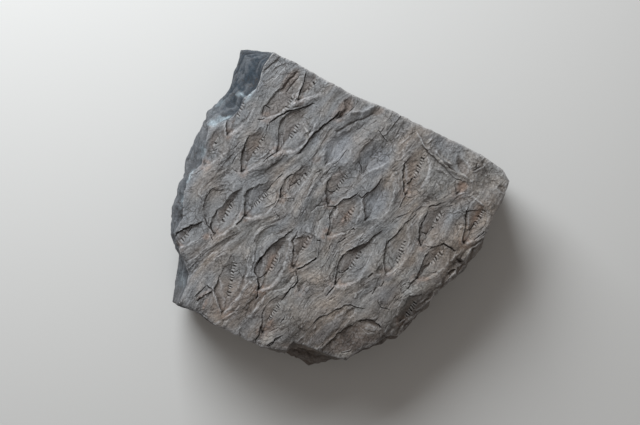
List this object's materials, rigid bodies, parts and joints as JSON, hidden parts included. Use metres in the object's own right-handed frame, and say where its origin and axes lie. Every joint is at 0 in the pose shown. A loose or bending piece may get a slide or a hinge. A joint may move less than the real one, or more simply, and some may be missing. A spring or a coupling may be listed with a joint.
{
  "type": "fossil scale tree bark slab",
  "caption": "Slab of grey-brown stone with the print of scale tree bark: slanted rows of pointed leaf cushions, folds and cracks on its upper face",
  "frame": {"origin": "centre of the flat underside that the slab rests on", "axes": "+X to the right and +Y up across the bark face as it is usually shown, with the straight joint face at the upper right, +Z up out of the bark face"},
  "size_m": [0.1235, 0.117, 0.039],
  "materials": {
    "stone": "matte"
  },
  "bodies": {
    "root": {"fossil_bark_slab": "stone"}
  },
  "joints": []
}
